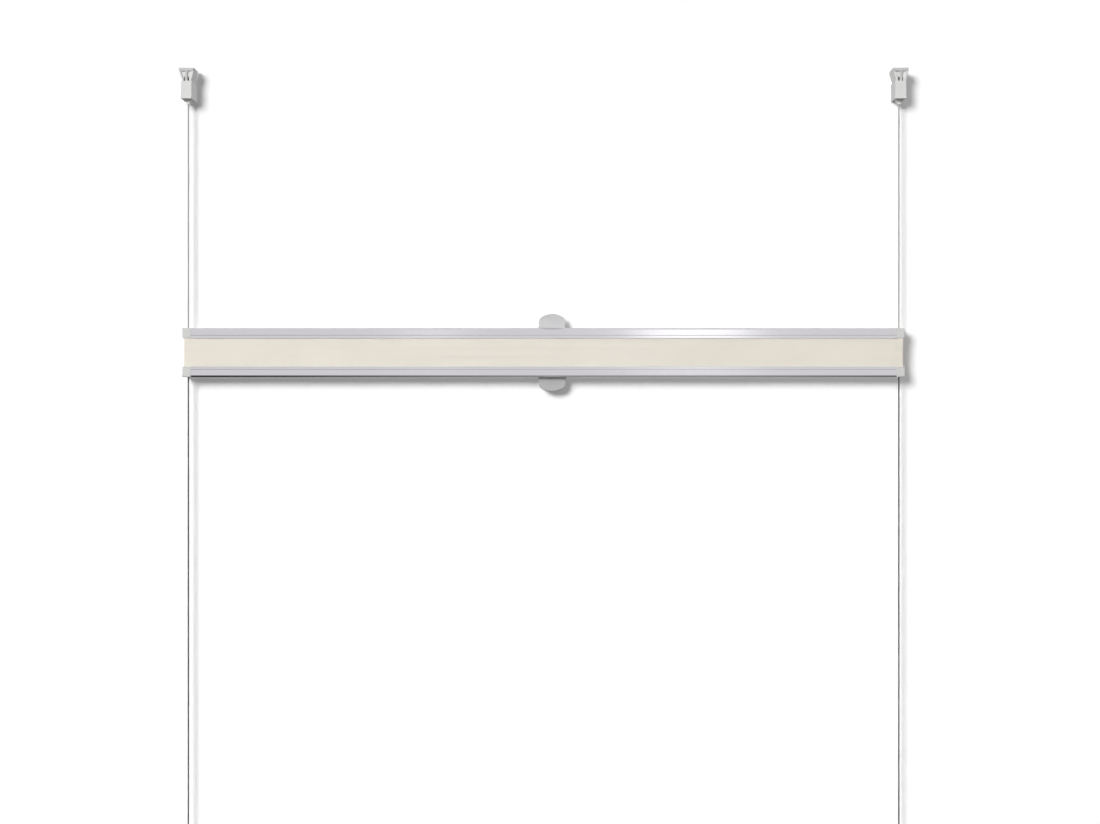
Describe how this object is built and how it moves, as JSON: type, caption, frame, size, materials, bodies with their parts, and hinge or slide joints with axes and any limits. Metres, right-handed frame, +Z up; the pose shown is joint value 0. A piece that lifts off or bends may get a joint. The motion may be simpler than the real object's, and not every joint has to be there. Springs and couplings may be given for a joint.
{
  "type": "pleated blind",
  "caption": "Pleated fabric blind folded between slim aluminium rails that slide on taut side cords held by small wall brackets, with a pull handle on each rail.",
  "frame": {"origin": "on the wall, midway between the screw holes of the two upper brackets", "axes": "+Z up along the cords, +Y into the wall, +X to the right when seen from the front"},
  "size_m": [0.808, 0.0244, 0.8898],
  "materials": {
    "rail_aluminium": "satin anodised",
    "strip_plastic": "plain",
    "cap_plastic": "fine grain",
    "handle_plastic": "fine grain",
    "bracket_plastic": "fine grain",
    "key_plastic": "fine grain",
    "guide_plastic": "plain",
    "cord_braid": "fine braid",
    "pleated_cloth": "fine weave"
  },
  "bodies": {
    "brackets": {"upper_left_bracket_base": "bracket_plastic", "upper_left_bracket_housing": "bracket_plastic", "upper_left_cord_key": "key_plastic", "upper_left_cord_guide": "guide_plastic", "upper_right_bracket_base": "bracket_plastic", "upper_right_bracket_housing": "bracket_plastic", "upper_right_cord_key": "key_plastic", "upper_right_cord_guide": "guide_plastic", "lower_left_bracket_base": "bracket_plastic", "lower_left_bracket_housing": "bracket_plastic", "lower_left_cord_key": "key_plastic", "lower_left_cord_guide": "guide_plastic", "lower_right_bracket_base": "bracket_plastic", "lower_right_bracket_housing": "bracket_plastic", "lower_right_cord_key": "key_plastic", "lower_right_cord_guide": "guide_plastic", "left_tension_cord": "cord_braid", "right_tension_cord": "cord_braid", "pleated_fabric": "pleated_cloth"},
    "top_rail": {"top_rail_profile": "rail_aluminium", "top_fabric_strip": "strip_plastic", "top_front_cord_run": "cord_braid", "top_rear_cord_run": "cord_braid", "top_left_end_cap": "cap_plastic", "top_right_end_cap": "cap_plastic"},
    "bottom_rail": {"bottom_rail_profile": "rail_aluminium", "bottom_fabric_strip": "strip_plastic", "bottom_front_cord_run": "cord_braid", "bottom_rear_cord_run": "cord_braid", "bottom_left_end_cap": "cap_plastic", "bottom_right_end_cap": "cap_plastic"},
    "top_handle": {"top_handle": "handle_plastic"},
    "bottom_handle": {"bottom_handle": "handle_plastic"}
  },
  "joints": [
    {"name": "top_rail_slide", "type": "slide", "parent": "brackets", "child": "top_rail", "axis": [0, 0, 1], "range_m": [0, 0.245], "deforming": ["pleated_fabric"]},
    {"name": "bottom_rail_slide", "type": "slide", "parent": "brackets", "child": "bottom_rail", "axis": [0, 0, -1], "range_m": [0, 0.504], "deforming": ["pleated_fabric"]},
    {"name": "top_handle_slide", "type": "slide", "parent": "top_rail", "child": "top_handle", "axis": [1, 0, 0], "range_m": [-0.37, 0.35]},
    {"name": "bottom_handle_slide", "type": "slide", "parent": "bottom_rail", "child": "bottom_handle", "axis": [1, 0, 0], "range_m": [-0.37, 0.35]}
  ]
}
